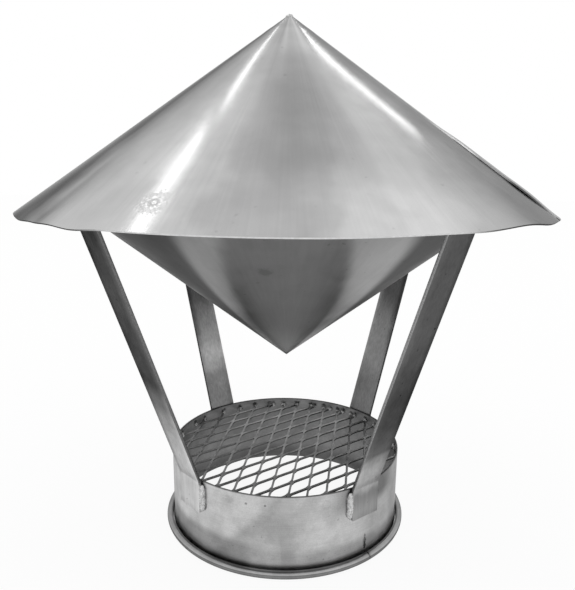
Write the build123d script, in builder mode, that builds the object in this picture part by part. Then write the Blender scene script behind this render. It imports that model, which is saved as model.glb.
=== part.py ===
from build123d import *
import os
from math import acos, asin, atan2, ceil, cos, degrees, hypot, pi, radians, sin, sqrt, tan

os.makedirs("parts", exist_ok=True)

# Sheet and bar stock
sheet = 0.8
strap_width = 20.0
strap_thickness = 2.0
strap_bend = 3.0
seat_gap = 0.1

# Collar with its rolled bead and butt seam
collar_diameter = 150.0
collar_height = 50.0
bead_height = 4.8
bead_width = 5.8
bead_roll_past_top = 34.0
bead_flats = 5
seam_azimuth = 40.0
seam_open_height = 16.0
seam_slit = 0.3

# Hood
hood_diameter = 312.0
hood_rim_height = 204.8
hood_pitch = 35.55
hood_tip_hole = 4.0
lap_azimuth = 60.0
lap_angle = 6.0
lap_gap = 0.1
lap_lift_angle = 90.0
tip_weld_radius = 2.6
tip_weld_rise = 0.5
tip_weld_taper = 25.0

# Deflector
deflector_tip_height = 110.0
deflector_pitch = 37.85
flange_width = 14.0

# Legs, their azimuths counted from the front towards +X
leg_azimuths = {
    "front_left": -48.0,
    "front_right": 38.0,
    "back_left": -140.0,
    "back_right": 132.0,
}
foot_tab_length = 20.0
head_tab_length = 18.0
nest_gap = 0.3

# Welds, on one side of a front foot and on both sides of a back one
weld_radius = 2.6
weld_sides = 8
weld_taper = 7.0
weld_proud = 0.4
foot_weld_length = 17.0
foot_weld_low = 1.0
head_weld_length = 10.0
foot_weld_sides = {
    "front_left": [1],
    "front_right": [-1],
    "back_left": [-1, 1],
    "back_right": [-1, 1],
}

# Expanded mesh
mesh_long_way = 27.0
mesh_short_way = 11.8
mesh_angle = 59.0
mesh_strand = 1.6
mesh_thickness = 1.2
mesh_depth = 4.8
mesh_edge_gap = 0.1
mesh_shift_long = 0.4
mesh_shift_short = 0.8
knuckle_flat = 1.7
tack_radius = 1.7
tack_height = 1.3
tack_taper = 32.0
tack_sides = 4
tack_reach = 0.9

# Radii and heights that follow
collar_outer = collar_diameter / 2
collar_inner = collar_outer - sheet
hood_radius = hood_diameter / 2
pitch = radians(hood_pitch)
lean_in = radians(deflector_pitch)
hood_apex_height = hood_rim_height + hood_radius * tan(pitch)
hood_inside_apex = hood_apex_height - sheet / cos(pitch)
flange_under_apex = hood_inside_apex - (seat_gap + sheet) / cos(pitch)


def radial_plane(azimuth):
    """Upright plane through the axis, with x outwards at the azimuth and y up."""
    outwards = Vector(sin(radians(azimuth)), -cos(radians(azimuth)), 0)
    return Plane(origin=(0, 0, 0), x_dir=outwards, z_dir=outwards.cross(Vector(0, 0, 1)))


# Deflector corner, where the cone's outside meets the underside of its flange
corner_r = (flange_under_apex - deflector_tip_height) / (tan(pitch) + tan(lean_in))
corner_z = deflector_tip_height + corner_r * tan(lean_in)
flange_r = corner_r + flange_width * cos(pitch)
flange_z = corner_z - flange_width * sin(pitch)

# Head tab: flat under the conical flange, so lowered by what the cone falls across its width
tab_fall = (hypot(corner_r, strap_width / 2) - corner_r) * sin(pitch) + seat_gap

# The leg's upper bend nests under the deflector corner, and the leg runs from there to the collar
bend_outside = strap_bend + strap_thickness
nest_drop = bend_outside + tab_fall
nest_shift = (bend_outside + nest_gap - nest_drop * cos(pitch + lean_in)) / sin(pitch + lean_in)
nest_r = corner_r + nest_shift * cos(pitch) - nest_drop * sin(pitch)
nest_z = corner_z - nest_shift * sin(pitch) - nest_drop * cos(pitch)
foot_r = collar_outer + seat_gap
reach = hypot(nest_r - foot_r, nest_z - collar_height)
leg_lean = atan2(nest_r - foot_r, nest_z - collar_height) - asin(bend_outside / reach)
tab_apex = flange_under_apex - tab_fall / cos(pitch)
head_rise = (tab_apex - collar_height - foot_r * tan(pitch)) / (1 + tan(leg_lean) * tan(pitch))
head_r = foot_r + head_rise * tan(leg_lean)
head_z = collar_height + head_rise

# Mesh levels
mesh_top = collar_height - mesh_depth
mesh_bottom = mesh_top - mesh_thickness
mesh_radius = collar_inner - mesh_edge_gap


# Collar: wall, foot and a bead rolled in short flats, then the open end of the butt seam
bead_curl = bead_height / 2
roll_r = collar_inner + bead_width - bead_curl
roll_step = radians((180 + bead_roll_past_top) / bead_flats)
roll = [
    (roll_r + bead_curl * sin(step * roll_step), bead_curl - bead_curl * cos(step * roll_step))
    for step in range(bead_flats + 1)
]
with BuildPart() as collar:
    with BuildSketch(Plane.XZ):
        with BuildLine():
            Polyline((collar_inner, collar_height), (collar_inner, 0), *roll)
            offset(amount=sheet, side=Side.LEFT, kind=Kind.INTERSECTION)
        make_face()
    revolve(axis=Axis.Z)
    with BuildSketch(radial_plane(seam_azimuth)):
        with Locations((collar_outer, seam_open_height / 2)):
            Rectangle(2 * bead_width, seam_open_height)
    extrude(amount=seam_slit / 2, both=True, mode=Mode.SUBTRACT)


# Hood: one rolled sheet whose last stretch turns about a shifted centre and laps over its start
lap_shift = (sheet + lap_gap) / sin(pitch)
lift_end = lap_azimuth + lap_lift_angle
lap_out = radial_plane(lap_azimuth).x_dir
shifted_axis = Axis(lap_out * lap_shift, (0, 0, 1))
through_sheet = Vector(-sin(pitch), -cos(pitch)) * sheet
hood_tip = Vector(hood_tip_hole / 2, hood_apex_height - hood_tip_hole / 2 * tan(pitch))
hood_rim = Vector(hood_radius, hood_rim_height)
with BuildSketch() as hood_section:
    with BuildLine():
        Polyline(hood_tip, hood_rim, hood_rim + through_sheet, hood_tip + through_sheet, close=True)
    make_face()

lift_start_plane = radial_plane(lift_end)
shifted_plane = Plane(lap_out * lap_shift, lift_start_plane.x_dir, lift_start_plane.z_dir)
with BuildPart() as hood:
    with BuildSketch(lift_start_plane):
        add(hood_section.sketch)
    revolve(axis=Axis.Z, revolution_arc=360 - lap_lift_angle + lap_angle)
    with BuildSketch(lift_start_plane):
        add(hood_section.sketch)
    extrude(amount=lap_shift)
    with BuildSketch(shifted_plane):
        add(hood_section.sketch)
    revolve(axis=shifted_axis, revolution_arc=-lap_lift_angle)


# Deflector: cone and flange from one outline, its tip closed on the axis
with BuildPart() as deflector:
    with BuildSketch(Plane.XZ):
        with BuildLine():
            Polyline(
                (-sheet, deflector_tip_height - sheet * tan(lean_in)),
                (corner_r, corner_z),
                (flange_r, flange_z),
            )
            offset(amount=sheet, side=Side.LEFT, kind=Kind.INTERSECTION)
        make_face()
        split(bisect_by=Plane.YZ)
    revolve(axis=Axis.Z)


# Legs
legs = {}
for place, azimuth in leg_azimuths.items():
    with BuildPart() as leg:
        with BuildSketch(radial_plane(azimuth)):
            with BuildLine():
                FilletPolyline(
                    (foot_r, collar_height - foot_tab_length),
                    (foot_r, collar_height),
                    (head_r, head_z),
                    (head_r + head_tab_length * cos(pitch), head_z - head_tab_length * sin(pitch)),
                    radius=bend_outside,
                )
                offset(amount=strap_thickness, side=Side.RIGHT)
            make_face()
        extrude(amount=strap_width / 2, both=True)
    legs[place] = leg


# Region over the underside of the flange, which trims the head welds
trim_r = flange_r + flange_width
with BuildPart() as above_flange:
    with BuildSketch(Plane.XZ):
        with BuildLine():
            Polyline(
                (corner_r, corner_z),
                (trim_r, flange_under_apex - trim_r * tan(pitch)),
                (trim_r, hood_apex_height),
                (corner_r, hood_apex_height),
                close=True,
            )
        make_face()
    revolve(axis=Axis.Z)

# Welds: bars in the corners beside each leg's foot tab and head tab, thinner towards their ends
tab_turn = pi / 2 - leg_lean + pitch
weld_inset = strap_thickness - weld_radius + weld_proud
foot_weld_r = foot_r + weld_inset
foot_weld_z = collar_height - foot_tab_length + foot_weld_low + foot_weld_length / 2
head_weld_along = (bend_outside * tan(tab_turn / 2) + head_tab_length) / 2
head_weld_r = head_r + head_weld_along * cos(pitch) - weld_inset * sin(pitch)
head_weld_z = head_z - head_weld_along * sin(pitch) - weld_inset * cos(pitch)
head_tilt = pi / 2 + pitch


def weld_plane(azimuth, out, up, tilt, side):
    """Plane at the middle of a weld beside a leg: x along the weld, z away from the strap."""
    upright = radial_plane(azimuth)
    beside = upright.z_dir * -side
    along = upright.x_dir * sin(tilt) + Vector(0, 0, cos(tilt))
    middle = upright.x_dir * out + Vector(0, 0, up) + beside * (strap_width / 2)
    return Plane(origin=middle, x_dir=along, z_dir=beside)


def weld_bar(length):
    """Half of a tapered bar along x, with its flat side on the XY plane."""
    with BuildPart() as bar:
        with BuildSketch(Plane.YZ):
            RegularPolygon(weld_radius, side_count=weld_sides)
        extrude(amount=length / 2, both=True, taper=weld_taper)
        split(bisect_by=Plane.XY)
    return bar.part


foot_weld = weld_bar(foot_weld_length)
head_weld = weld_bar(head_weld_length)
leg_welds = {}
for place, azimuth in leg_azimuths.items():
    with BuildPart() as welds:
        for side in foot_weld_sides[place]:
            with Locations(weld_plane(azimuth, foot_weld_r, foot_weld_z, 0, side)):
                add(foot_weld)
        for side in (-1, 1):
            with Locations(weld_plane(azimuth, head_weld_r, head_weld_z, head_tilt, side)):
                add(head_weld)
        Cylinder(collar_outer, 2 * collar_height, mode=Mode.SUBTRACT)
        add(above_flange.part, mode=Mode.SUBTRACT)
    leg_welds[place] = welds


# Weld that closes the tip of the hood: a nub over the hole, with its root inside it
nub_top = hood_apex_height + tip_weld_rise
root_height = (hood_tip + through_sheet).Y
with BuildPart() as hood_tip_weld:
    with BuildSketch(Plane.XY.offset(root_height)):
        RegularPolygon(tip_weld_radius, side_count=weld_sides)
    extrude(amount=nub_top - root_height, taper=tip_weld_taper)
    add(hood.part, mode=Mode.SUBTRACT)


# Expanded mesh: a disc with rounded diamond openings, laid out along the mesh's long way
half_long = mesh_long_way / 2
half_short = mesh_short_way / 2
strand_run = hypot(half_long, half_short)
strand_pitch = 2 * half_long * half_short / strand_run
opening_share = 1 - mesh_strand / strand_pitch
with BuildSketch() as opening:
    with BuildLine():
        Polyline(
            (half_long * opening_share, 0),
            (0, half_short * opening_share),
            (-half_long * opening_share, 0),
            (0, -half_short * opening_share),
            close=True,
        )
    make_face()
    chamfer(opening.vertices().sort_by(Axis.X)[1:3], length=knuckle_flat)

columns = ceil(mesh_radius / half_long) + 1
rows = ceil(mesh_radius / half_short) + 1
opening_centres = [
    (mesh_shift_long + column * half_long, mesh_shift_short + row * half_short)
    for column in range(-columns, columns + 1)
    for row in range(-rows, rows + 1)
    if (column + row) % 2
]
opening_centres = [spot for spot in opening_centres if hypot(*spot) < mesh_radius + half_short]
mesh_plane = Plane.XY.offset(mesh_bottom).rotated((0, 0, mesh_angle))
with BuildPart() as whole_mesh:
    with BuildSketch(mesh_plane):
        Circle(mesh_radius)
        with Locations(*opening_centres):
            add(opening.sketch, mode=Mode.SUBTRACT)
    extrude(amount=mesh_thickness)
# Offcuts at the edge that no strand holds fall away
with BuildPart() as bird_mesh:
    add(whole_mesh.solids().sort_by(SortBy.VOLUME)[-1])


# Tack welds on the strand ends, against the collar wall
strand_slant = degrees(atan2(half_short, half_long))
tack_angles = []
for slant in (-strand_slant, strand_slant):
    across = mesh_shift_short * cos(radians(slant)) - mesh_shift_long * sin(radians(slant))
    strands = ceil(collar_inner / strand_pitch)
    for strand in range(-strands, strands + 1):
        distance = across + strand * strand_pitch
        if abs(distance) < tack_reach * collar_inner:
            swing = degrees(acos(distance / collar_inner))
            normal = mesh_angle + slant + 90
            tack_angles += [normal - swing, normal + swing]
with BuildPart() as tack:
    with BuildSketch(Plane.XY.offset(mesh_top)):
        RegularPolygon(tack_radius, side_count=tack_sides)
    extrude(amount=tack_height, taper=tack_taper)
    split(bisect_by=Plane.YZ, keep=Keep.BOTTOM)
tack_seat_r = sqrt(collar_inner**2 - tack_radius**2)
with BuildPart() as mesh_tacks:
    for angle in tack_angles:
        with PolarLocations(tack_seat_r, 1, start_angle=angle):
            add(tack.part)


pieces = {
    "collar": collar,
    "hood": hood,
    "hood_tip_weld": hood_tip_weld,
    "deflector": deflector,
    "bird_mesh": bird_mesh,
    "mesh_tacks": mesh_tacks,
}
for place in leg_azimuths:
    pieces[f"leg_{place}"] = legs[place]
    pieces[f"leg_welds_{place}"] = leg_welds[place]
for name, piece in pieces.items():
    piece.part.label = name
    export_step(piece.part, f"parts/{name}.step")
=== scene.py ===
import random
from math import acos, asin, atan2, ceil, cos, degrees, hypot, pi, radians, sin, sqrt, tan

import bmesh
import bpy
from mathutils import Matrix, Vector, noise


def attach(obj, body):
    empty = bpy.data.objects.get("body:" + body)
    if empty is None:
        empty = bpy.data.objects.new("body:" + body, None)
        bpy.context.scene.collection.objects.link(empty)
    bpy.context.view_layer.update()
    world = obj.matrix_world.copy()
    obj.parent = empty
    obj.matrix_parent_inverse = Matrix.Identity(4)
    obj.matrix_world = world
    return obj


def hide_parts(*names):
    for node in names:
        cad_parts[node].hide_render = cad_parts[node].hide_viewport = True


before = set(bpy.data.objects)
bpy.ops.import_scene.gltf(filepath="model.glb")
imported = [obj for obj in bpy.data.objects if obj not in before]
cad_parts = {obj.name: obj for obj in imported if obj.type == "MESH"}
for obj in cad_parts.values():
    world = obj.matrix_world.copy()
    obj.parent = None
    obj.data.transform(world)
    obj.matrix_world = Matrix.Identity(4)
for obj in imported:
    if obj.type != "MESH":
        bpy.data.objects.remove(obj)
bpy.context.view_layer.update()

# Sizes in millimetres, while Blender works in metres. They are the part's own, apart from the azimuth of the
# lap, the strands of the mesh and the rounded folds
MM = 0.001
SHEET = 0.8
SEAT_GAP = 0.1
COLLAR_R = 75.0
WALL_R = COLLAR_R - SHEET
COLLAR_HEIGHT = 50.0
BEAD_HEIGHT = 4.8
BEAD_WIDTH = 5.8
BEAD_TURN = 214.0
SEAM_AZIMUTH = 40.0
SEAM_OPEN_HEIGHT = 16.0
SEAM_GAP = 0.3
HOOD_R = 156.0
HOOD_RIM_HEIGHT = 204.8
HOOD_TIP_R = 2.0
PITCH = radians(35.55)
LAP_AZIMUTH = 63.5
LAP_OVERLAP = 6.0
LAP_GAP = 0.1
LIFT_ANGLE = 90.0
TIP_HEIGHT = 110.0
DEFLECTOR_LEAN = radians(37.85)
FLANGE_WIDTH = 14.0
STRAP_WIDTH = 20.0
STRAP_THICKNESS = 2.0
BEND_RADIUS = 5.0
NEST_GAP = 0.3
FOOT_TAB = 20.0
HEAD_TAB = 18.0
LEG_AZIMUTHS = {"front_left": -48.0, "front_right": 38.0, "back_left": -140.0, "back_right": 132.0}
MESH_LONG = 27.0
MESH_SHORT = 11.8
MESH_ANGLE = radians(59.0)
MESH_STRAND = 1.35
MESH_THICKNESS = 1.0
MESH_MIDDLE = 44.6
MESH_SHIFT = (0.4, 0.8)
MESH_EDGE_GAP = 0.1
FOLD_RADIUS, FOLD_STEPS = 1.2, 4
BEND_STEPS = 8
MERGE_DISTANCE = 0.001

HOOD_APEX = HOOD_RIM_HEIGHT + HOOD_R * tan(PITCH)
FLANGE_APEX = HOOD_APEX - (2 * SHEET + SEAT_GAP) / cos(PITCH)
CORNER_R = (FLANGE_APEX - TIP_HEIGHT) / (tan(PITCH) + tan(DEFLECTOR_LEAN))
CORNER_Z = TIP_HEIGHT + CORNER_R * tan(DEFLECTOR_LEAN)

random.seed(7)


# Camera, at the place and angle that the photograph was taken from
def make_camera():
    distance, height = 384.88, 231.48
    yaw, dip, roll = 0.0084, 0.2276, 0.0121
    focal, middle_x, middle_y = 613.21, 291.86, 306.31
    image_width, image_height = 575, 590
    data = bpy.data.cameras.new("camera")
    data.sensor_width = 36
    data.lens = focal * data.sensor_width / image_height
    data.shift_x = (image_width / 2 - middle_x) / image_height
    data.shift_y = (middle_y - image_height / 2) / image_height
    data.clip_start = 0.01
    ahead = Vector((sin(yaw) * cos(dip), cos(yaw) * cos(dip), -sin(dip)))
    right = Vector((cos(yaw), -sin(yaw), 0))
    turned = Matrix((right, right.cross(ahead), -ahead)).transposed() @ Matrix.Rotation(roll, 3, "Z")
    camera = bpy.data.objects.new("camera", data)
    camera.matrix_world = Matrix.Translation(Vector((0, -distance, height)) * MM) @ turned.to_4x4()
    bpy.context.scene.collection.objects.link(camera)
    bpy.context.scene.camera = camera


make_camera()
bpy.context.scene.view_settings.view_transform = "Standard"


# Node helpers
def link_in(tree, socket, value):
    if isinstance(value, bpy.types.NodeSocket):
        tree.links.new(value, socket)
    else:
        socket.default_value = value


def node(tree, kind, inputs=(), **settings):
    made = tree.nodes.new(kind)
    for name, value in settings.items():
        setattr(made, name, value)
    for name, value in dict(inputs).items():
        link_in(tree, made.inputs[name], value)
    return made


def maths(tree, operation, *values, clamp=False):
    made = node(tree, "ShaderNodeMath", operation=operation, use_clamp=clamp)
    for socket, value in zip(made.inputs, values):
        link_in(tree, socket, value)
    return made.outputs[0]


def product(tree, *values):
    result = values[0]
    for value in values[1:]:
        result = maths(tree, "MULTIPLY", result, value)
    return result


def total(tree, *values):
    result = values[0]
    for value in values[1:]:
        result = maths(tree, "ADD", result, value)
    return result


def between(tree, value, low, high, out_low=0.0, out_high=1.0):
    made = node(tree, "ShaderNodeMapRange", interpolation_type="SMOOTHSTEP")
    for name, given in zip(
        ("Value", "From Min", "From Max", "To Min", "To Max"), (value, low, high, out_low, out_high)
    ):
        link_in(tree, made.inputs[name], given)
    return made.outputs["Result"]


def varied(tree, value, low, high):
    """Noise stretched so that it runs from about low to about high."""
    return between(tree, value, 0.3, 0.7, low, high)


def mixed(tree, amount, first, second):
    made = node(tree, "ShaderNodeMix", data_type="FLOAT")
    for socket, value in zip(made.inputs, (amount, None, first, second)):
        if value is not None:
            link_in(tree, socket, value)
    return made.outputs[0]


def toned(tree, value, stops):
    """Grey along a value from 0 to 1, by (place, grey) stops."""
    made = node(tree, "ShaderNodeValToRGB", {"Fac": value})
    made.color_ramp.interpolation = "EASE"
    marks = made.color_ramp.elements
    while len(marks) < len(stops):
        marks.new(0.5)
    for mark, (place, grey) in zip(marks, sorted(stops)):
        mark.position = place
        mark.color = (grey, grey, grey, 1)
    return made.outputs["Color"]


def noisy(tree, vector, scale, detail=2.0, roughness=0.5):
    made = node(tree, "ShaderNodeTexNoise", {
        "Vector": vector, "Scale": scale, "Detail": detail, "Roughness": roughness,
    })
    return made.outputs["Fac"]


def triple(tree, x, y, z):
    return node(tree, "ShaderNodeCombineXYZ", {"X": x, "Y": y, "Z": z}).outputs[0]


def new_group(name, inputs, outputs):
    """Empty node group: inputs are (name, type, default), outputs are (name, type)."""
    tree = bpy.data.node_groups.new(name, "ShaderNodeTree")
    for label, kind, default in inputs:
        socket = tree.interface.new_socket(label, in_out="INPUT", socket_type="NodeSocket" + kind)
        if default is not None:
            socket.default_value = default
    for label, kind in outputs:
        tree.interface.new_socket(label, in_out="OUTPUT", socket_type="NodeSocket" + kind)
    return tree, tree.nodes.new("NodeGroupInput").outputs, tree.nodes.new("NodeGroupOutput").inputs


def use_group(tree, group, **inputs):
    made = node(tree, "ShaderNodeGroup", node_tree=group)
    for name, value in inputs.items():
        link_in(tree, made.inputs[name.replace("_", " ")], value)
    return made.outputs


def axis_group():
    """Where a point is round the axis, in millimetres: Turn is 0.5 at the front and grows towards +X."""
    tree, given, wanted = new_group(
        "round_the_axis", [("Point", "Vector", None)],
        [("Turn", "Float"), ("Out", "Float"), ("Up", "Float"), ("Scaled", "Vector")],
    )
    scaled = node(tree, "ShaderNodeVectorMath", {"Scale": 1 / MM}, operation="SCALE")
    link_in(tree, scaled.inputs[0], given["Point"])
    parts = node(tree, "ShaderNodeSeparateXYZ", {"Vector": scaled.outputs[0]}).outputs
    turn = maths(tree, "ARCTAN2", parts["X"], maths(tree, "MULTIPLY", parts["Y"], -1.0))
    link_in(tree, wanted["Turn"], maths(tree, "MULTIPLY_ADD", turn, 1 / (2 * pi), 0.5))
    flat = maths(tree, "SQRT", total(tree, *(product(tree, parts[way], parts[way]) for way in "XY")))
    link_in(tree, wanted["Out"], flat)
    link_in(tree, wanted["Up"], parts["Z"])
    link_in(tree, wanted["Scaled"], scaled.outputs[0])
    return tree


def spot_group():
    """Soft round spot about a centre, and a ring at its edge."""
    tree, given, wanted = new_group(
        "spot", [
            ("Point", "Vector", None), ("Centre", "Vector", None), ("Radius", "Float", 3.0),
            ("Ragged", "Float", 0.3),
        ],
        [("Spot", "Float"), ("Ring", "Float")],
    )
    away = node(tree, "ShaderNodeVectorMath", operation="DISTANCE")
    link_in(tree, away.inputs[0], given["Point"])
    link_in(tree, away.inputs[1], given["Centre"])
    wobble = maths(tree, "SUBTRACT", noisy(tree, given["Point"], 0.9, 3.0), 0.5)
    share = maths(tree, "DIVIDE", away.outputs["Value"], given["Radius"])
    near = total(tree, share, product(tree, wobble, given["Ragged"]))
    link_in(tree, wanted["Spot"], between(tree, near, 1.15, 0.55))
    off_edge = maths(tree, "ABSOLUTE", maths(tree, "SUBTRACT", near, 1.0))
    link_in(tree, wanted["Ring"], between(tree, off_edge, 0.4, 0.0))
    return tree


def wear_group():
    """Marks of handled mill sheet: fine grain, blotches, dark specks and fine scratches."""
    tree, given, wanted = new_group(
        "mill_wear", [
            ("Point", "Vector", None), ("Grain", "Vector", None), ("Blotch Size", "Float", 30.0),
            ("Speck Size", "Float", 5.0),
        ],
        [("Grain", "Float"), ("Blotch", "Float"), ("Specks", "Float"), ("Scratches", "Float")],
    )
    link_in(tree, wanted["Grain"], noisy(tree, given["Grain"], 1.0, 4.0, 0.6))
    blotch_scale = maths(tree, "DIVIDE", 1.0, given["Blotch Size"])
    link_in(tree, wanted["Blotch"], noisy(tree, given["Point"], blotch_scale, 4.0, 0.6))
    specks = noisy(tree, given["Point"], maths(tree, "DIVIDE", 1.0, given["Speck Size"]), 2.0, 0.4)
    link_in(tree, wanted["Specks"], between(tree, specks, 0.70, 0.80))
    turned = node(tree, "ShaderNodeMapping", {
        "Vector": given["Point"], "Rotation": (0, 0, 0.5), "Scale": (0.05, 1.1, 1.1),
    })
    patchy = between(tree, noisy(tree, given["Point"], 0.03), 0.5, 0.7)
    strokes = between(tree, noisy(tree, turned.outputs[0], 1.0, 1.0), 0.60, 0.72)
    link_in(tree, wanted["Scratches"], product(tree, strokes, patchy))
    return tree


ROUND_AXIS = axis_group()
SPOT = spot_group()
MILL_WEAR = wear_group()


def new_material(name, roughness, edge_tint=0.45):
    """Metal material; returns it, its tree, its shader and the point in millimetres round the axis."""
    material = bpy.data.materials.new(name)
    material.use_nodes = True
    tree = material.node_tree
    shader = tree.nodes["Principled BSDF"]
    shader.inputs["Metallic"].default_value = 1.0
    shader.inputs["Roughness"].default_value = roughness
    shader.inputs["Specular Tint"].default_value = (edge_tint, edge_tint, edge_tint, 1)
    place = node(tree, "ShaderNodeTexCoord").outputs["Object"]
    return material, tree, shader, use_group(tree, ROUND_AXIS, Point=place)


def bump(tree, shader, height, distance, strength=1.0):
    made = node(tree, "ShaderNodeBump", {"Height": height, "Distance": distance * MM, "Strength": strength})
    link_in(tree, shader.inputs["Normal"], made.outputs["Normal"])


def off_azimuth(tree, at, azimuth=0):
    """How far a point lies from an azimuth on either side, as a share of a turn."""
    return maths(tree, "ABSOLUTE", maths(tree, "SUBTRACT", at["Turn"], 0.5 + azimuth / 360))


def azimuth_stops(*pairs):
    """Stops for a ramp on Turn from (azimuth, grey) pairs, alike at both ends."""
    return [(0.5 + azimuth / 360, grey) for azimuth, grey in pairs]


def polar(radius, azimuth, height):
    return (radius * sin(radians(azimuth)), -radius * cos(radians(azimuth)), height)


def hood_height(radius):
    return HOOD_APEX - radius * tan(PITCH)


def hood_material():
    material, tree, shader, at = new_material("hood_sheet", 0.16, edge_tint=0.3)
    # Painted reflections: light and dark fields by azimuth round the hood, their borders wavering more
    # towards the rim.
    wobble = maths(tree, "SUBTRACT", noisy(tree, at["Scaled"], 0.03, 2.0), 0.5)
    warp = product(tree, wobble, between(tree, at["Out"], 50.0, 150.0), 26 / 360)
    tone = toned(tree, total(tree, at["Turn"], warp), azimuth_stops(
        (-180, 0.40), (-150, 0.52), (-118, 0.34), (-88, 0.28), (-79, 0.10), (-66, 0.10), (-61, 0.13),
        (-57, 0.26), (-52, 0.57), (-47, 0.68), (-40, 0.69), (-33, 0.66), (-24, 0.63), (-15, 0.56),
        (-9, 0.46), (1, 0.39), (9, 0.43), (15, 0.53), (20, 0.61), (28, 0.64), (34, 0.58), (42, 0.59),
        (50, 0.68), (57, 0.74), (66, 0.62), (73, 0.18), (80, 0.14), (88, 0.34), (95, 0.42), (122, 0.52),
        (150, 0.34), (180, 0.40),
    ))
    # Painted reflection near azimuth 5: lighter near the tip, darker further down the cone.
    off_middle = off_azimuth(tree, at, 5)
    middle_reflection = toned(tree, maths(tree, "DIVIDE", at["Out"], HOOD_R), [
        (0.12, 0.77), (0.30, 0.54), (0.50, 0.43), (0.72, 0.45), (0.86, 0.50),
    ])
    tone = product(tree, tone, mixed(
        tree, between(tree, off_middle, 18 / 360, 9 / 360), 1.0, product(tree, middle_reflection, 2.0)
    ))
    # Painted highlight: up to 18 percent lighter towards the rim near azimuth 14.
    painted_highlight = product(
        tree, between(tree, at["Out"], 112.0, 150.0),
        between(tree, off_azimuth(tree, at, 14), 18 / 360, 8 / 360),
    )
    tone = product(tree, tone, maths(tree, "MULTIPLY_ADD", painted_highlight, 0.18, 1.0))
    # Painted glint: the hood turns white in a thin strip just before the lap, between radii 86 and 113.
    before_lap = maths(tree, "SUBTRACT", 0.5 + LAP_AZIMUTH / 360, at["Turn"])
    glint = product(
        tree, between(tree, before_lap, 1.2 / 360, 0.8 / 360), between(tree, before_lap, -0.3 / 360, 0.0),
        between(tree, at["Out"], 86.0, 90.0), between(tree, at["Out"], 113.0, 107.0),
    )
    tone = mixed(tree, glint, tone, 1.0)
    grain = triple(tree, product(tree, at["Turn"], 500.0), product(tree, at["Out"], 0.012), 0.0)
    wear = use_group(tree, MILL_WEAR, Point=at["Scaled"], Grain=grain, Blotch_Size=45.0, Speck_Size=6.0)
    streaks = varied(tree, wear["Grain"], 0.98, 1.02)
    blotch = varied(tree, wear["Blotch"], 0.94, 1.06)
    specks = between(tree, wear["Specks"], 0.0, 1.0, 1.0, 0.88)
    left_weld = polar(140.9, -23, hood_height(140.9))
    left_spot = use_group(tree, SPOT, Point=at["Scaled"], Centre=left_weld, Radius=2.0, Ragged=1.4)
    pulled = use_group(tree, SPOT, Point=at["Scaled"], Centre=left_weld, Radius=7.0, Ragged=2.0)
    right_weld = polar(144.8, 19, hood_height(144.8))
    right_spot = use_group(tree, SPOT, Point=at["Scaled"], Centre=right_weld, Radius=2.0)
    dot = use_group(tree, SPOT, Point=at["Scaled"], Centre=polar(118.8, -33, hood_height(118.8)), Radius=1.0)
    marks = total(tree, left_spot["Ring"], product(tree, dot["Spot"], 0.5))
    marked = maths(tree, "MULTIPLY_ADD", marks, -0.16, 1.0)
    link_in(tree, shader.inputs["Base Color"], product(tree, tone, streaks, blotch, specks, marked))
    link_in(tree, shader.inputs["Roughness"], between(tree, wear["Blotch"], 0.25, 0.75, 0.13, 0.20))
    hatch = node(tree, "ShaderNodeMapping", {
        "Vector": at["Scaled"], "Rotation": (0, 0, 0.9), "Scale": (0.22, 1.4, 1.4),
    })
    wrinkles = product(tree, pulled["Spot"], noisy(tree, hatch.outputs[0], 1.0, 1.0))
    peel = noisy(tree, at["Scaled"], 0.8, 2.0)
    height = total(
        tree, product(tree, wear["Grain"], 0.15), wear["Blotch"], product(tree, peel, 0.12),
        product(tree, left_spot["Ring"], -1.1), product(tree, wrinkles, 1.8),
        product(tree, right_spot["Ring"], -0.5), product(tree, wear["Scratches"], -0.12),
    )
    bump(tree, shader, height, 0.05)
    return material


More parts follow.
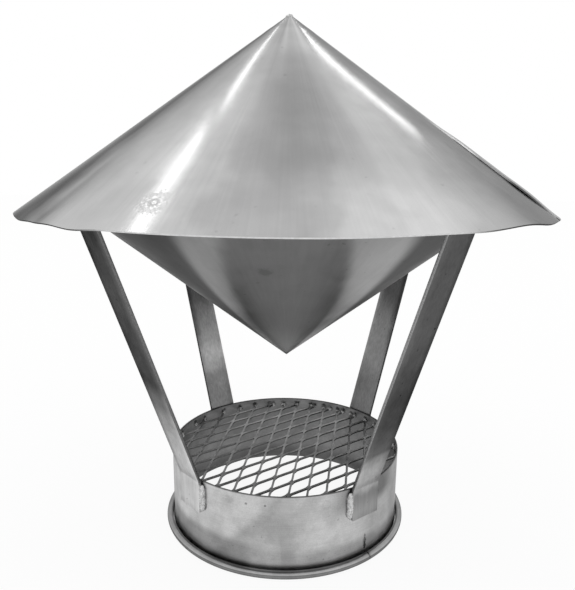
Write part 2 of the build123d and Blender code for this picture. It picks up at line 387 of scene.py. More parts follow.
def deflector_material():
    material, tree, shader, at = new_material("deflector_sheet", 0.36)
    # Painted reflections: light and dark fields by azimuth round the deflector, their borders swept sideways
    # as the radius grows.
    side = maths(tree, "SIGN", maths(tree, "SUBTRACT", at["Turn"], 0.5))
    sweep = product(
        tree, maths(tree, "SUBTRACT", at["Out"], 110.0), between(tree, side, -1.0, 1.0, 0.19, 0.22), 1 / 360
    )
    off_front = total(tree, off_azimuth(tree, at), sweep)
    swept = product(tree, side, maths(tree, "MAXIMUM", off_front, 0.0))
    tone = toned(tree, total(tree, swept, 0.5), azimuth_stops(
        (-180, 0.24), (-158, 0.22), (-150, 0.48), (-140, 0.46), (-131, 0.12), (-95, 0.20), (-60, 0.12),
        (-36, 0.12), (-31, 0.14), (-26, 0.42), (-19, 0.40), (-14, 0.25), (0, 0.24), (13, 0.25), (18, 0.48),
        (30, 0.52), (37, 0.15), (60, 0.11), (100, 0.20), (128, 0.14), (134, 0.46), (146, 0.48), (153, 0.22),
        (180, 0.24),
    ))
    grain = triple(tree, product(tree, at["Turn"], 160.0), product(tree, at["Out"], 0.03), 0.0)
    wear = use_group(tree, MILL_WEAR, Point=at["Scaled"], Grain=grain, Blotch_Size=22.0, Speck_Size=3.0)
    dark_spot = use_group(tree, SPOT, Point=at["Scaled"], Radius=4.0, Ragged=1.6,
                          Centre=polar(90, -7, TIP_HEIGHT + 90 * tan(DEFLECTOR_LEAN)))
    streaks = varied(tree, wear["Grain"], 0.96, 1.04)
    blotch = varied(tree, wear["Blotch"], 0.90, 1.10)
    specks = between(tree, wear["Specks"], 0.0, 1.0, 1.0, 0.75)
    marked = maths(tree, "MULTIPLY_ADD", dark_spot["Spot"], -0.22, 1.0)
    # Painted reflection: up to half again lighter towards the tip.
    tip_reflection = between(tree, at["Out"], 42.0, 10.0, 1.0, 1.5)
    shade = product(tree, tone, tip_reflection, streaks, blotch, specks, marked)
    link_in(tree, shader.inputs["Base Color"], shade)
    link_in(tree, shader.inputs["Roughness"], between(tree, wear["Blotch"], 0.25, 0.75, 0.30, 0.44))
    bump(tree, shader, total(tree, wear["Grain"], wear["Blotch"], product(tree, wear["Specks"], -0.5)), 0.04)
    return material


def collar_material():
    material, tree, shader, at = new_material("collar_sheet", 0.34)
    # Painted reflections: light and dark fields by azimuth round the collar wall, the border left of the
    # front slanting with height.
    left_front = product(tree, between(tree, at["Turn"], 0.30, 0.36), between(tree, at["Turn"], 0.50, 0.49))
    spread = product(tree, maths(tree, "SUBTRACT", 36.0, at["Up"]), left_front, 0.70 / 360)
    reflection_around = toned(tree, total(tree, at["Turn"], spread), azimuth_stops(
        (-180, 0.54), (-140, 0.46), (-100, 0.70), (-70, 0.84), (-55, 0.75), (-45, 0.68), (-36, 0.58),
        (-17, 0.56), (-10, 0.41), (2, 0.43), (7, 0.50), (16, 0.54), (26, 0.54), (33, 0.50), (45, 0.44),
        (60, 0.54), (80, 0.68), (120, 0.50), (150, 0.58), (180, 0.54),
    ))
    # Painted reflection of the floor: below a border that slants across the front, the wall darkens by an
    # amount set by azimuth, and just above the bead it turns lighter again.
    low_edge = between(tree, at["Turn"], 0.5 - 25 / 360, 0.5 + 5 / 360, 19.5, 14.5)
    low = between(tree, maths(tree, "SUBTRACT", at["Up"], low_edge), 3.5, -3.5)
    floor_reflection = toned(tree, at["Turn"], azimuth_stops(
        (-180, 0.70), (-75, 0.60), (-30, 0.55), (-14, 0.78), (5, 0.80), (12, 0.64), (60, 0.70), (180, 0.70),
    ))
    level = product(tree, mixed(tree, low, 1.0, floor_reflection), between(tree, at["Up"], 9.0, 5.0, 1.0, 1.5))
    # Painted shade: the wall darkens by half high up near azimuth 41.
    off_shade = off_azimuth(tree, at, 41)
    shade = product(tree, between(tree, off_shade, 0.07, 0.03), between(tree, at["Up"], 32.0, 41.0))
    wall_tone = product(tree, reflection_around, level, maths(tree, "MULTIPLY_ADD", shade, -0.5, 1.0))
    bead_part = between(tree, at["Out"], COLLAR_R + 0.6, COLLAR_R + 1.2)
    # Painted shade and highlight on the bead by height: darkest at its foot, then a thin dark line and a
    # bright line towards its top.
    bead_shading = toned(tree, maths(tree, "DIVIDE", at["Up"], BEAD_HEIGHT), [
        (0.0, 0.10), (0.30, 0.19), (0.56, 0.22), (0.66, 0.15), (0.74, 0.40), (1.0, 0.30),
    ])
    outer = mixed(tree, bead_part, wall_tone, bead_shading)
    inner_part = between(tree, at["Out"], COLLAR_R - 0.3, COLLAR_R - 0.6)
    scorch = node(tree, "ShaderNodeAttribute", attribute_name="scorch", attribute_type="GEOMETRY")
    grain = triple(tree, product(tree, at["Turn"], 25.0), 0.0, product(tree, at["Up"], 1.6))
    wear = use_group(tree, MILL_WEAR, Point=at["Scaled"], Grain=grain, Blotch_Size=14.0, Speck_Size=2.4)
    side_shown = maths(tree, "MAXIMUM", inner_part, between(tree, at["Up"], 24.0, 20.0))
    ragged_edge = between(tree, noisy(tree, at["Scaled"], 0.8, 3.0, 0.6), 0.38, 0.60, 0.5, 1.4)
    burn = product(tree, scorch.outputs["Fac"], side_shown, ragged_edge)
    # Painted shade on the inside of the wall: darker towards the bottom, a touch lighter just above the
    # mesh.
    inner_shade = total(
        tree, between(tree, at["Up"], 4.0, 16.0, 0.14, 0.29), between(tree, at["Up"], 45.2, 46.6, 0.0, 0.03)
    )
    tone = mixed(tree, inner_part, outer, inner_shade)
    streaks = varied(tree, wear["Grain"], 0.95, 1.05)
    fleck = varied(tree, noisy(tree, at["Scaled"], 1.6, 2.0), 0.94, 1.06)
    blotch = product(tree, varied(tree, wear["Blotch"], 0.84, 1.12), fleck)
    specks = between(tree, wear["Specks"], 0.0, 1.0, 1.0, 0.7)
    burnt = between(tree, burn, 0.15, 0.8, 1.0, 0.2)
    lip = between(tree, at["Up"], COLLAR_HEIGHT - 0.7, COLLAR_HEIGHT - 0.3, 1.0, 0.35)
    marks = 0.0
    for azimuth, level, radius, ragged, depth in (
        (-17.1, 44.0, 0.8, 0.8, 0.55), (-8.5, 44.1, 0.8, 0.8, 0.55), (-24.9, 44.4, 3.2, 2.0, 0.14),
    ):
        centre = polar(COLLAR_R, azimuth, level)
        spot = use_group(tree, SPOT, Point=at["Scaled"], Centre=centre, Radius=radius, Ragged=ragged)
        marks = total(tree, product(tree, spot["Spot"], depth), marks)
    centre = polar(COLLAR_R, 18.5, 43.5)
    spot_weld = use_group(tree, SPOT, Point=at["Scaled"], Centre=centre, Radius=2.3, Ragged=0.8)
    marked = maths(tree, "SUBTRACT", 1.0, total(tree, marks, product(tree, spot_weld["Ring"], 0.10)))
    tone = product(tree, tone, streaks, blotch, specks, burnt, lip, marked)
    link_in(tree, shader.inputs["Base Color"], tone)
    rough = between(tree, total(tree, wear["Blotch"], burn), 0.3, 1.2, 0.28, 0.5)
    link_in(tree, shader.inputs["Roughness"], mixed(tree, inner_part, rough, 0.55))
    bump(tree, shader, total(
        tree, product(tree, wear["Grain"], 0.6), wear["Blotch"], product(tree, spot_weld["Ring"], 2.0)
    ), 0.05)
    return material


def bar_material(name, stops, contrast=1.0):
    """Flat bar of a leg, toned by (height, grey) stops of painted reflection and shade, with rolling marks
    along it.
    """
    material, tree, shader, at = new_material(name, 0.34, edge_tint=0.25)
    parts = node(tree, "ShaderNodeSeparateXYZ", {"Vector": at["Scaled"]}).outputs
    grain = triple(tree, *(product(tree, parts[way], scale) for way, scale in zip("XYZ", (0.9, 0.9, 0.05))))
    wear = use_group(tree, MILL_WEAR, Point=at["Scaled"], Grain=grain, Blotch_Size=20.0, Speck_Size=2.2)
    patchy = product(tree, maths(tree, "SUBTRACT", wear["Blotch"], 0.5), 14.0)
    level = maths(tree, "DIVIDE", total(tree, at["Up"], patchy), CORNER_Z)
    tone = toned(tree, level, [(height / CORNER_Z, grey) for height, grey in stops])
    streaks = varied(tree, wear["Grain"], 1 - 0.08 * contrast, 1 + 0.08 * contrast)
    blotch = varied(tree, wear["Blotch"], 1 - 0.12 * contrast, 1 + 0.12 * contrast)
    specks = between(tree, wear["Specks"], 0.0, 1.0, 1.0, 0.55)
    link_in(tree, shader.inputs["Base Color"], product(tree, tone, streaks, blotch, specks))
    link_in(tree, shader.inputs["Roughness"], between(tree, wear["Blotch"], 0.25, 0.75, 0.28, 0.42))
    bump(tree, shader, total(tree, wear["Grain"], wear["Blotch"], product(tree, wear["Specks"], -1.0)), 0.05)
    return material


def edge_material(name, tone, foot_reflection_tone=None):
    """Sheared or sawn edge of sheet and bar, lighter beside a leg's foot tab as a painted reflection."""
    material, tree, shader, at = new_material(name, 0.35, edge_tint=0.3)
    burr = noisy(tree, at["Scaled"], 1.5, 3.0, 0.6)
    level = between(tree, at["Up"], COLLAR_HEIGHT - 4, COLLAR_HEIGHT, foot_reflection_tone or tone, tone)
    link_in(tree, shader.inputs["Base Color"], product(tree, level, varied(tree, burr, 0.75, 1.25)))
    bump(tree, shader, burr, 0.08)
    return material


def hood_edge_material():
    """Cut edge of the hood's blank: it has a painted glint along the lap and painted shade towards the rim,
    darkest where the lap opens and on the rim's sides.
    """
    material, tree, shader, at = new_material("hood_edge", 0.35, edge_tint=0.3)
    tone = toned(tree, maths(tree, "DIVIDE", at["Out"], HOOD_R), [
        (0.30, 0.60), (0.52, 0.60), (0.57, 1.0), (0.69, 1.0), (0.74, 0.50), (0.81, 0.45), (0.85, 0.15),
        (0.93, 0.15), (0.995, 0.75),
    ])
    at_rim = between(tree, at["Out"], HOOD_R - 2.5, HOOD_R - 1.5)
    # Painted shade on the cut edge at the rim's sides.
    rim_side_shade = product(tree, at_rim, between(tree, off_azimuth(tree, at), 26 / 360, 36 / 360))
    tone = product(tree, tone, maths(tree, "MULTIPLY_ADD", rim_side_shade, -0.82, 1.0))
    burr = noisy(tree, at["Scaled"], 0.6, 2.0, 0.6)
    link_in(tree, shader.inputs["Base Color"], product(tree, tone, varied(tree, burr, 0.9, 1.05)))
    bump(tree, shader, burr, 0.04)
    return material


def weld_material(name, low, high):
    material, tree, shader, at = new_material(name, 0.42)
    coarse = noisy(tree, at["Scaled"], 0.5, 4.0, 0.6)
    fine = noisy(tree, at["Scaled"], 1.8, 3.0, 0.6)
    tone = product(tree, varied(tree, coarse, low, high), between(tree, fine, 0.35, 0.65, 0.68, 1.12))
    link_in(tree, shader.inputs["Base Color"], tone)
    link_in(tree, shader.inputs["Roughness"], varied(tree, coarse, 0.34, 0.55))
    bump(tree, shader, total(tree, coarse, fine), 0.6)
    return material


def strand_material():
    material, tree, shader, at = new_material("mesh_strand", 0.40)
    coarse = noisy(tree, at["Scaled"], 0.12, 3.0, 0.6)
    fine = noisy(tree, at["Scaled"], 1.3, 3.0, 0.6)
    tone = product(tree, varied(tree, coarse, 0.22, 0.36), varied(tree, fine, 0.8, 1.2))
    link_in(tree, shader.inputs["Base Color"], tone)
    link_in(tree, shader.inputs["Roughness"], varied(tree, fine, 0.34, 0.5))
    bump(tree, shader, total(tree, coarse, product(tree, fine, 0.6)), 0.1)
    return material


# Shape helpers
def finish_piece(name, shape, material, nodes, wall=0.0, bevel=0.0, sharp=35, edge=None):
    """Object of a finished shape in metres; wall gives a sheet its thickness against its normals."""
    bmesh.ops.scale(shape, vec=(MM, MM, MM), verts=shape.verts)
    mesh = bpy.data.meshes.new(name)
    shape.to_mesh(mesh)
    shape.free()
    piece = bpy.data.objects.new(name, mesh)
    bpy.context.scene.collection.objects.link(piece)
    mesh.materials.append(material)
    if wall:
        solid = piece.modifiers.new("wall", "SOLIDIFY")
        solid.thickness = wall * MM
        solid.offset = -1
        solid.use_even_offset = True
        if edge:
            mesh.materials.append(edge)
            solid.material_offset_rim = 1
    if bevel:
        rounding = piece.modifiers.new("edges", "BEVEL")
        rounding.width = bevel * MM
        rounding.segments = 2
        rounding.limit_method = "ANGLE"
        rounding.angle_limit = radians(50)
    if wall or bevel:
        shown = piece.evaluated_get(bpy.context.evaluated_depsgraph_get())
        piece.data = bpy.data.meshes.new_from_object(shown)
        piece.modifiers.clear()
        bpy.data.meshes.remove(mesh)
    piece.data.shade_smooth()
    piece.data.set_sharp_from_angle(angle=radians(sharp))
    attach(piece, "root")
    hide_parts(*nodes)
    return piece


def rounded(points, radius, steps):
    """Points of a bent line, each inner corner turned into an arc of that radius."""
    line = [Vector(points[0])]
    for before, corner, after in zip(points, points[1:], points[2:]):
        corner = Vector(corner)
        back = (Vector(before) - corner).normalized()
        forth = (Vector(after) - corner).normalized()
        half = back.angle(forth) / 2
        centre = corner + (back + forth).normalized() * radius / sin(half)
        start = corner + back * radius / tan(half) - centre
        sweep = start.angle_signed(corner + forth * radius / tan(half) - centre)
        for step in range(steps + 1):
            spoke = start.copy()
            spoke.rotate(Matrix.Rotation(-sweep * step / steps, 2))
            line.append(centre + spoke)
    return line + [Vector(points[-1])]


def divided(points, longest):
    """The same line with its long runs cut into equal lengths."""
    line = [points[0]]
    for start, end in zip(points, points[1:]):
        count = max(1, ceil((end - start).length / longest))
        line += [start.lerp(end, step / count) for step in range(1, count + 1)]
    return line


def chain(shape, points):
    """Edges through (radius, height) points in the front half of the XZ plane."""
    verts = [shape.verts.new((x, 0, z)) for x, z in points]
    edges = [shape.edges.new(pair) for pair in zip(verts, verts[1:])]
    return verts + edges


def face_away(shape, outside):
    """Turns an open sheet so that its faces look the way outside(centre) points."""
    bmesh.ops.recalc_face_normals(shape, faces=shape.faces)
    if sum(face.normal.dot(outside(face.calc_center_median())) for face in shape.faces) < 0:
        bmesh.ops.reverse_faces(shape, faces=shape.faces)


def spun(points, steps):
    """Closed sheet of revolution from a line."""
    shape = bmesh.new()
    bmesh.ops.spin(
        shape, geom=chain(shape, points), cent=(0, 0, 0), axis=(0, 0, 1), angle=2 * pi,
        steps=steps, use_merge=True,
    )
    bmesh.ops.remove_doubles(shape, verts=shape.verts, dist=MERGE_DISTANCE)
    return shape


def azimuth_of(point):
    return degrees(atan2(point.x, -point.y))


def outwards(azimuth):
    return Vector((sin(radians(azimuth)), -cos(radians(azimuth)), 0))


def eased(value):
    value = max(0.0, min(1.0, value))
    return value * value * (3 - 2 * value)


def bell(*offsets):
    """1 where no offset is left, fading softly as the offsets grow."""
    return 2.718 ** -sum(offset * offset for offset in offsets)


UP = Vector((0, 0, 1))


# Hood: a flat blank rolled into a cone, its first stretch lapped over its last
HOOD_STEPS_DOWN, HOOD_STEPS_ROUND = 72, 366
# Uneven rim, as azimuth, reach and lift, which fades by a power of the way down the cone
RIM_LIFTS = [(-58, 10, -0.9), (-36, 7, -1.0), (28, 24, 0.8), (44, 14, 2.0), (60, 9, 0.6)]
RIM_LIFT_POWER = 14
# Radii between which the lap opens, swells and closes again
LAP_OPEN_FROM, LAP_OPEN_TO = 86.0, 102.0
LAP_SWELL_FROM, LAP_SWELL_TO, LAP_SWELL = 124.0, 134.0, 0.25
LAP_CLOSE_FROM, LAP_CLOSE_TO, LAP_CLOSE = 136.0, 154.0, 1.1
LIFT_FADE = 20.0
SINK_FROM, SINK_TO = 359.5, 362.0
WAVE_HEIGHT = 0.35
CREASE_AZIMUTH, CREASE_DEPTH, CREASE_FROM, CREASE_TO = -47.5, 0.35, 110.0, 135.0
TIP_RING_R, TIP_RING_WIDTH, TIP_RING_HEIGHT = 13.6, 1.6, 0.12


def risen(value, start, end):
    """0 up to start and 1 from end on, eased between them."""
    return eased((value - start) / (end - start))


def hood_point(along, turn):
    azimuth = LAP_AZIMUTH + turn * (360 + LAP_OVERLAP)
    radius = HOOD_TIP_R + along * (HOOD_R - HOOD_TIP_R)
    out = outwards(azimuth)
    lift_end = LAP_AZIMUTH + LIFT_ANGLE
    opened = risen(radius, LAP_OPEN_FROM, LAP_OPEN_TO) * (
        1 + LAP_SWELL * risen(radius, LAP_SWELL_FROM, LAP_SWELL_TO)
        - LAP_CLOSE * risen(radius, LAP_CLOSE_FROM, LAP_CLOSE_TO)
    )
    lifted = eased((lift_end + LIFT_FADE / 2 - azimuth) / LIFT_FADE) * opened
    sunk = risen(azimuth - LAP_AZIMUTH, SINK_FROM, SINK_TO) * max(0.0, 1 - opened)
    slid = (lifted - sunk) * (SHEET + LAP_GAP) / sin(PITCH)
    point = out * radius + outwards(LAP_AZIMUTH) * slid + Vector((0, 0, hood_height(radius)))
    skin = out * sin(PITCH) + Vector((0, 0, cos(PITCH)))
    wave = noise.noise(Vector((azimuth * 0.03, along * 1.5, 3.0))) * WAVE_HEIGHT * along
    front = (azimuth + 180) % 360 - 180
    for middle, reach, lift in RIM_LIFTS:
        point.z += lift * eased(1 - abs(front - middle) / reach) * along ** RIM_LIFT_POWER
    wave -= CREASE_DEPTH * bell((front - CREASE_AZIMUTH) / 2) * risen(radius, CREASE_FROM, CREASE_TO)
    wave += TIP_RING_HEIGHT * bell((radius - TIP_RING_R) / TIP_RING_WIDTH)
    return point + skin * wave


def make_hood():
    shape = bmesh.new()
    bmesh.ops.create_grid(shape, x_segments=HOOD_STEPS_DOWN, y_segments=HOOD_STEPS_ROUND, size=0.5)
    for vert in shape.verts:
        vert.co = hood_point(vert.co.x + 0.5, vert.co.y + 0.5)
    face_away(shape, lambda centre: UP)
    return finish_piece("rolled_hood", shape, hood_material(), ["hood"], wall=SHEET,
                        edge=hood_edge_material())


def make_deflector():
    flange_r = CORNER_R + FLANGE_WIDTH * cos(PITCH)
    line = rounded(
        [(0, TIP_HEIGHT), (CORNER_R, CORNER_Z), (flange_r, CORNER_Z - FLANGE_WIDTH * sin(PITCH))],
        FOLD_RADIUS, FOLD_STEPS,
    )
    longest, steps = 5.0, 240
    shape = spun(divided(line, longest), steps)
    face_away(shape, lambda centre: -UP)
    return finish_piece("inverted_cone", shape, deflector_material(), ["deflector"],
                        wall=SHEET)


# Tack welds, where the strands of the mesh meet the collar wall
def tack_azimuths():
    half_long, half_short = MESH_LONG / 2, MESH_SHORT / 2
    pitch = 2 * half_long * half_short / hypot(half_long, half_short)
    slant = atan2(half_short, half_long)
    found = []
    for lean in (-slant, slant):
        offset = MESH_SHIFT[1] * cos(lean) - MESH_SHIFT[0] * sin(lean)
        count = ceil(WALL_R / pitch)
        for strand in range(-count, count + 1):
            distance = offset + strand * pitch
            if abs(distance) < 0.9 * WALL_R:
                normal = degrees(MESH_ANGLE + lean) + 90
                swing = degrees(acos(distance / WALL_R))
                found += [normal - swing + 90, normal + swing + 90]
    return found


TACKS = tack_azimuths()
TACK_BURN_HEIGHT, TACK_BURN_WIDTH, TACK_BURN_RISE = 46.8, 1.8, 1.6
# Other burns, as azimuth, height, width and rise
OTHER_BURNS = [(-39.5, 48.5, 0.9, 1.0), (31, 49, 1.0, 1.0), (SEAM_AZIMUTH, 9.5, 1.1, 6)]


def scorch_at(point):
    """How much a weld has burnt the wall near a point of the collar."""
    azimuth = azimuth_of(point)
    scorch = 0.0
    for tack in TACKS:
        across = ((azimuth - tack + 180) % 360 - 180) * radians(1) * WALL_R
        strength = 0.8 + 0.9 * noise.noise(Vector((tack, 0.5, 0.5)))
        above = point.z - TACK_BURN_HEIGHT
        scorch = max(scorch, strength * bell(across / TACK_BURN_WIDTH, above / TACK_BURN_RISE))
    for mark, level, wide, tall in OTHER_BURNS:
        across = ((azimuth - mark + 180) % 360 - 180) * radians(1) * COLLAR_R
        scorch = max(scorch, bell(across / wide, (point.z - level) / tall))
    return scorch


def make_collar():
    curl = BEAD_HEIGHT / 2
    roll_r = WALL_R + BEAD_WIDTH - curl
    longest, arc_steps, steps = 1.5, 24, 400
    wall = rounded([(WALL_R, COLLAR_HEIGHT), (WALL_R, 0), (roll_r, 0)], FOLD_RADIUS, FOLD_STEPS)
    line = divided(wall, longest)
    line += [
        Vector((roll_r + curl * sin(turn), curl - curl * cos(turn)))
        for turn in (radians(BEAD_TURN) * step / arc_steps for step in range(1, arc_steps + 1))
    ]
    shape = spun(line, steps)
    to_seam = Matrix.Rotation(radians(SEAM_AZIMUTH - 90 + 180 / steps), 3, "Z")
    bmesh.ops.rotate(shape, verts=shape.verts, matrix=to_seam)
    face_away(
        shape,
        lambda centre: Vector((-centre.x, -centre.y, 0)) if centre.z > 2 * BEAD_HEIGHT else Vector(),
    )
    slit = degrees(SEAM_GAP / 2 / COLLAR_R)
    for vert in shape.verts:
        off_seam = azimuth_of(vert.co) - SEAM_AZIMUTH
        if abs(off_seam) < 0.9 * 360 / steps:
            target = slit if off_seam > 0 else -slit
            bmesh.ops.rotate(shape, verts=[vert], matrix=Matrix.Rotation(radians(target - off_seam), 3, "Z"))
    open_faces = [
        face for face in shape.faces
        if face.calc_center_median().z < SEAM_OPEN_HEIGHT
        and abs(azimuth_of(face.calc_center_median()) - SEAM_AZIMUTH) < slit / 2
    ]
    bmesh.ops.delete(shape, geom=open_faces, context="FACES")
    burnt = shape.verts.layers.float.new("scorch")
    for vert in shape.verts:
        vert[burnt] = scorch_at(vert.co)
    return finish_piece("beaded_collar", shape, collar_material(), ["collar"], wall=SHEET)


# Legs: flat bar folded at the collar and under the flange
BAR_TURN = PITCH + DEFLECTOR_LEAN
TAB_FALL = (hypot(CORNER_R, STRAP_WIDTH / 2) - CORNER_R) * sin(PITCH) + SEAT_GAP
NEST_DROP = BEND_RADIUS + TAB_FALL
NEST_SHIFT = (BEND_RADIUS + NEST_GAP - NEST_DROP * cos(BAR_TURN)) / sin(BAR_TURN)
NEST_R = CORNER_R + NEST_SHIFT * cos(PITCH) - NEST_DROP * sin(PITCH)
NEST_Z = CORNER_Z - NEST_SHIFT * sin(PITCH) - NEST_DROP * cos(PITCH)
FOOT_R = COLLAR_R + SEAT_GAP
LEG_LEAN = atan2(NEST_R - FOOT_R, NEST_Z - COLLAR_HEIGHT) - asin(
    BEND_RADIUS / hypot(NEST_R - FOOT_R, NEST_Z - COLLAR_HEIGHT)
)
HEAD_RISE = (FLANGE_APEX - TAB_FALL / cos(PITCH) - COLLAR_HEIGHT - FOOT_R * tan(PITCH)) / (
    1 + tan(LEG_LEAN) * tan(PITCH)
)
HEAD_R = FOOT_R + HEAD_RISE * tan(LEG_LEAN)
HEAD_Z = COLLAR_HEIGHT + HEAD_RISE


def make_leg(place, azimuth, material, edge):
    longest, strips = 6.0, 4
    line = divided(rounded([
        (FOOT_R, COLLAR_HEIGHT - FOOT_TAB), (FOOT_R, COLLAR_HEIGHT), (HEAD_R, HEAD_Z),
        (HEAD_R + HEAD_TAB * cos(PITCH), HEAD_Z - HEAD_TAB * sin(PITCH)),
    ], BEND_RADIUS, BEND_STEPS), longest)
    shape = bmesh.new()
    edges = [item for item in chain(shape, line) if isinstance(item, bmesh.types.BMEdge)]
    bmesh.ops.translate(shape, verts=shape.verts, vec=(0, -STRAP_WIDTH / 2, 0))
    for _ in range(strips):
        made = bmesh.ops.extrude_edge_only(shape, edges=edges)["geom"]
        edges = [item for item in made if isinstance(item, bmesh.types.BMEdge)]
        verts = [item for item in made if isinstance(item, bmesh.types.BMVert)]
        bmesh.ops.translate(shape, verts=verts, vec=(0, STRAP_WIDTH / strips, 0))
    face_away(shape, lambda centre: Vector((-1, 0, 0)))
    bmesh.ops.rotate(shape, verts=shape.verts, matrix=Matrix.Rotation(radians(azimuth - 90), 3, "Z"))
    return finish_piece(f"bar_{place}", shape, material, [f"leg_{place}"],
                        wall=STRAP_THICKNESS, bevel=0.3, edge=edge)


# Weld beads with ripples, laid in the corners beside the legs' tabs. A bead is length, width and height
FOOT_BEAD, HEAD_BEAD = (17, 4.0, 2.8), (10, 3.2, 2.6)
FOOT_BEAD_BESIDE, HEAD_BEAD_BESIDE = STRAP_WIDTH / 2 + 0.8, STRAP_WIDTH / 2 + 0.7
FOOT_BEAD_HEIGHT = 39.3
BEAD_PROUD = 1.0
BEAD_SPLAY = 0.5
RIPPLE_PITCH, RIPPLE_DEPTH = 1.7, 0.09


def add_bead(shape, middle, along, out, size, seed):
    """Lumpy bead centred on middle, running along, standing proud towards out."""
    length, width, height = size
    across = along.cross(out)
    made = bmesh.ops.create_uvsphere(shape, u_segments=14, v_segments=30, radius=1)["verts"]
    for vert in made:
        run = vert.co.z
        ring = max(1e-6, hypot(vert.co.x, vert.co.y))
        girth = (1 - abs(run) ** 5) ** 0.5 / ring if ring > 1e-3 else 0.0
        side, rise = vert.co.x * girth, vert.co.y * girth
        place = Vector((side * width, rise * height, run * length)) * 0.5
        ripple = 1 + RIPPLE_DEPTH * cos(2 * pi * (place.z / RIPPLE_PITCH + 0.5 * side * side))
        lump = 1 + 0.28 * noise.noise(place * 0.55 + Vector((seed, 0, 0)))
        drift = 0.35 * noise.noise(Vector((place.z * 0.3, seed, 1.0)))
        vert.co = middle + across * (place.x * ripple * lump + drift)
        vert.co += out * place.y * ripple * lump
        vert.co += along * place.z


FOOT_WELD_SIDES = {"front_left": [1], "front_right": [-1], "back_left": [-1, 1], "back_right": [-1, 1]}
TAB_TURN = pi / 2 - LEG_LEAN + PITCH
HEAD_WELD_ALONG = (BEND_RADIUS * tan(TAB_TURN / 2) + HEAD_TAB) / 2


def make_welds(place, azimuth, material):
    shape = bmesh.new()
    out = outwards(azimuth)
    sideways = UP.cross(out)
    for side in FOOT_WELD_SIDES[place]:
        middle = out * (COLLAR_R + BEAD_PROUD) + sideways * side * FOOT_BEAD_BESIDE
        middle += UP * FOOT_BEAD_HEIGHT
        middle += out * (sqrt(COLLAR_R ** 2 - FOOT_BEAD_BESIDE ** 2) - COLLAR_R)
        facing = (out + sideways * side * BEAD_SPLAY).normalized()
        add_bead(shape, middle, UP, facing, FOOT_BEAD, side + azimuth)
    down_tab = out * cos(PITCH) - Vector((0, 0, sin(PITCH)))
    under = -out * sin(PITCH) - Vector((0, 0, cos(PITCH)))
    for side in (-1, 1):
        middle = out * HEAD_R + Vector((0, 0, HEAD_Z)) + down_tab * HEAD_WELD_ALONG + under * BEAD_PROUD
        middle += sideways * side * HEAD_BEAD_BESIDE
        facing = (under + sideways * side * BEAD_SPLAY).normalized()
        add_bead(shape, middle, down_tab, facing, HEAD_BEAD, side - azimuth)
    bmesh.ops.remove_doubles(shape, verts=shape.verts, dist=MERGE_DISTANCE)
    bmesh.ops.recalc_face_normals(shape, faces=shape.faces)
    return finish_piece(f"beads_{place}", shape, material, [f"leg_welds_{place}"], sharp=60)


NUB_RADIUS, NUB_RISE, NUB_DROP = 2.3, 1.7, 1.8


def make_tip_weld(material):
    shape = bmesh.new()
    made = bmesh.ops.create_icosphere(shape, subdivisions=4, radius=1)["verts"]
    for vert in made:
        lump = 1 + 0.22 * noise.noise(vert.co * 1.7) + 0.10 * noise.noise(vert.co * 4.0)
        rise = HOOD_APEX - NUB_DROP + vert.co.z * NUB_RISE * lump
        vert.co = Vector((vert.co.x * NUB_RADIUS * lump, vert.co.y * NUB_RADIUS * lump, rise))
    return finish_piece("tip_nub", shape, material, ["hood_tip_weld"], sharp=60)


# Tacks, their sizes drawn between these ends
TACK_WIDE, TACK_TALL, TACK_DEEP, TACK_SLIP = (1.1, 2.4), (0.8, 1.7), (1.0, 1.6), 0.4
TACK_HEIGHT, TACK_OFF_WALL, TACK_SINK = 45.1, 0.5, 0.45


def make_tacks(material):
    shape = bmesh.new()
    for azimuth in TACKS:
        made = bmesh.ops.create_icosphere(shape, subdivisions=2, radius=1)["verts"]
        out = outwards(azimuth)
        sideways = UP.cross(out)
        wide, tall, deep = (random.uniform(*ends) for ends in (TACK_WIDE, TACK_TALL, TACK_DEEP))
        shift = random.uniform(-TACK_SLIP, TACK_SLIP)
        for vert in made:
            lump = 1 + 0.3 * noise.noise(vert.co * 1.3 + Vector((azimuth, 0, 0)))
            side, rise, depth = vert.co * lump
            off_axis = WALL_R - TACK_OFF_WALL + min(TACK_SINK, depth * deep)
            vert.co = out * off_axis + sideways * (shift + side * wide)
            vert.co.z = TACK_HEIGHT + rise * tall
    return finish_piece("tack_lumps", shape, material, ["mesh_tacks"], sharp=60)


# Expanded mesh: one row of grid for each strand line, its edges meeting at the bonds
BOND_SHARE, SLOPE_SHARE = 0.13, 0.74
MESH_TILT = radians(10)
MESH_MERGE, MESH_TRIM = 0.02, 1.2


def strand_wave(phase):
    """Height of a strand line from -1 at a bond below to 1 at a bond above, flat along each bond."""
    share = abs((phase + 1) % 2 - 1)
    return 2 * max(0.0, min(1.0, (share - BOND_SHARE) / SLOPE_SHARE)) - 1


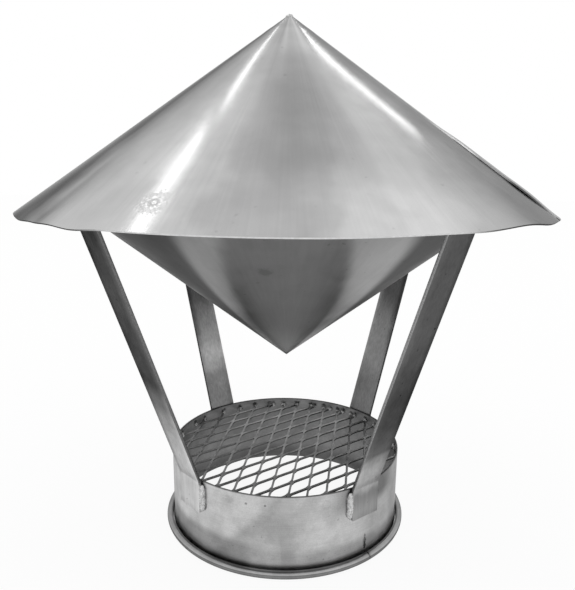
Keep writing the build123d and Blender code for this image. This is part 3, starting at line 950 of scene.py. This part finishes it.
def make_mesh(material):
    shape = bmesh.new()
    half_long, half_short = MESH_LONG / 2, MESH_SHORT / 2
    rim = WALL_R - MESH_EDGE_GAP
    strand = MESH_STRAND
    columns_per_half = 10
    columns = ceil(rim / half_long) + 1
    rows = ceil(rim / half_short) + 1
    for row in range(-rows, rows):
        made = bmesh.ops.create_grid(
            shape, x_segments=2 * columns * columns_per_half, y_segments=2, size=0.5
        )["verts"]
        for vert in made:
            phase = vert.co.x * 2 * columns
            across = vert.co.y * strand
            wave = strand_wave(phase + row)
            swing = wave * (half_short - strand * cos(MESH_TILT)) / 2
            along = phase * half_long + MESH_SHIFT[0]
            up_way = (row + 0.5) * half_short + MESH_SHIFT[1] + swing + across * cos(MESH_TILT)
            lift = -wave * strand / 2 * sin(MESH_TILT) + across * sin(MESH_TILT)
            vert.co = Vector((along, up_way, lift))
    bmesh.ops.remove_doubles(shape, verts=shape.verts, dist=MESH_MERGE)
    bmesh.ops.rotate(shape, verts=shape.verts, matrix=Matrix.Rotation(MESH_ANGLE, 3, "Z"))
    outside = [vert for vert in shape.verts if hypot(vert.co.x, vert.co.y) > rim + MESH_TRIM]
    bmesh.ops.delete(shape, geom=outside, context="VERTS")
    for vert in shape.verts:
        reach = hypot(vert.co.x, vert.co.y)
        if reach > rim:
            vert.co.x *= rim / reach
            vert.co.y *= rim / reach
    bmesh.ops.translate(shape, verts=shape.verts, vec=(0, 0, MESH_MIDDLE + MESH_THICKNESS / 2))
    face_away(shape, lambda centre: UP)
    return finish_piece("expanded_screen", shape, material, ["bird_mesh"],
                        wall=MESH_THICKNESS, edge=edge_material("strand_side", 0.10))


make_hood()
make_deflector()
make_collar()
# Painted reflection and shade: each leg has its own face tones by height and its own edge tone.
BARS = {
    "front_left": (bar_material("bar_front_left_face", [
        (0, 0.66), (44, 0.68), (51, 0.74), (62, 0.84), (74, 0.74), (89, 0.55), (100, 0.34), (115, 0.155),
        (139, 0.15), (163, 0.17), (184, 0.13), (205, 0.12)]),
        edge_material("bar_front_left_edge", 0.17, 0.75)),
    "front_right": (bar_material("bar_front_right_face", [
        (0, 0.42), (32, 0.36), (46, 0.24), (51, 0.40), (56, 0.52), (61, 0.54), (67, 0.40), (74, 0.19),
        (84, 0.14), (95, 0.10), (121, 0.11), (145, 0.155), (167, 0.13), (205, 0.125)]),
        edge_material("bar_front_right_edge", 0.30, 0.50)),
    "back_left": (bar_material("bar_back_left_face", [
        (0, 0.20), (60, 0.22), (72, 0.24), (81, 0.36), (91, 0.44), (101, 0.36), (113, 0.30), (128, 0.25),
        (150, 0.17), (170, 0.12), (205, 0.10)], 1.6),
        edge_material("bar_back_left_edge", 0.05)),
    "back_right": (bar_material("bar_back_right_face", [
        (0, 0.18), (60, 0.18), (72, 0.18), (95, 0.26), (117, 0.27), (139, 0.22), (160, 0.18),
        (205, 0.13)], 1.4),
        edge_material("bar_back_right_edge", 0.05)),
}
WELD = weld_material("weld_bead", 0.62, 0.98)
for place, azimuth in LEG_AZIMUTHS.items():
    make_leg(place, azimuth, *BARS[place])
    make_welds(place, azimuth, WELD)
make_tip_weld(WELD)
make_tacks(weld_material("tack_weld", 0.20, 0.85))
make_mesh(strand_material())


# Floor, world and lamps
def make_floor():
    shape = bmesh.new()
    bmesh.ops.create_grid(shape, x_segments=1, y_segments=1, size=4)
    mesh = bpy.data.meshes.new("floor")
    shape.to_mesh(mesh)
    shape.free()
    floor = bpy.data.objects.new("floor", mesh)
    bpy.context.scene.collection.objects.link(floor)
    material = bpy.data.materials.new("floor")
    material.use_nodes = True
    tree = material.node_tree
    tree.nodes.remove(tree.nodes["Principled BSDF"])
    paper = node(tree, "ShaderNodeBsdfDiffuse", {"Color": (0.9, 0.9, 0.9, 1)})
    glow = node(tree, "ShaderNodeEmission", {"Color": (1, 1, 1, 1), "Strength": 1.0})
    shown = product(tree, seen_directly(tree), 0.92)
    joined = node(tree, "ShaderNodeMixShader", {"Fac": shown})
    tree.links.new(paper.outputs[0], joined.inputs[1])
    tree.links.new(glow.outputs[0], joined.inputs[2])
    tree.links.new(joined.outputs[0], tree.nodes["Material Output"].inputs["Surface"])
    mesh.materials.append(material)


def seen_directly(tree):
    """1 for what the camera, a gloss or a clear material sees."""
    path = node(tree, "ShaderNodeLightPath").outputs
    seen = maths(tree, "MAXIMUM", path["Is Camera Ray"], path["Is Glossy Ray"])
    return maths(tree, "MAXIMUM", seen, path["Is Transmission Ray"])


def make_world():
    world = bpy.data.worlds.new("studio")
    bpy.context.scene.world = world
    world.use_nodes = True
    tree = world.node_tree
    background = tree.nodes["Background"]
    background.inputs["Color"].default_value = (1, 1, 1, 1)
    background.inputs["Strength"].default_value = 1.0


STRIPS_FACE = Vector((0, -0.05, 0.26))
STRIPS_AWAY = 2.0


def make_strip(name, start, end, width, radiance):
    """Strip lamp between two directions from the hood, facing it."""
    middle = STRIPS_FACE
    start, end = (middle + Vector(direction).normalized() * STRIPS_AWAY for direction in (start, end))
    data = bpy.data.lights.new(name, "AREA")
    data.shape = "RECTANGLE"
    data.size, data.size_y = (end - start).length, width
    data.energy = radiance * pi * data.size * data.size_y
    lamp = bpy.data.objects.new(name, data)
    length = (end - start).normalized()
    back = ((start + end) / 2 - middle).normalized()
    across = back.cross(length).normalized()
    turned = Matrix((length, across, length.cross(across))).transposed()
    lamp.matrix_world = Matrix.Translation((start + end) / 2) @ turned.to_4x4()
    bpy.context.scene.collection.objects.link(lamp)


make_floor()
make_world()
make_strip("upper_left_strip", (-0.198, 0.64, 0.742), (-0.315, 0.515, 0.797), 0.04, 5.0)
make_strip("lower_left_strip", (-0.365, 0.495, 0.788), (-0.54, 0.315, 0.78), 0.09, 2.8)
make_strip("right_strip", (0.20, 0.61, 0.767), (0.47, 0.69, 0.55), 0.05, 7.5)
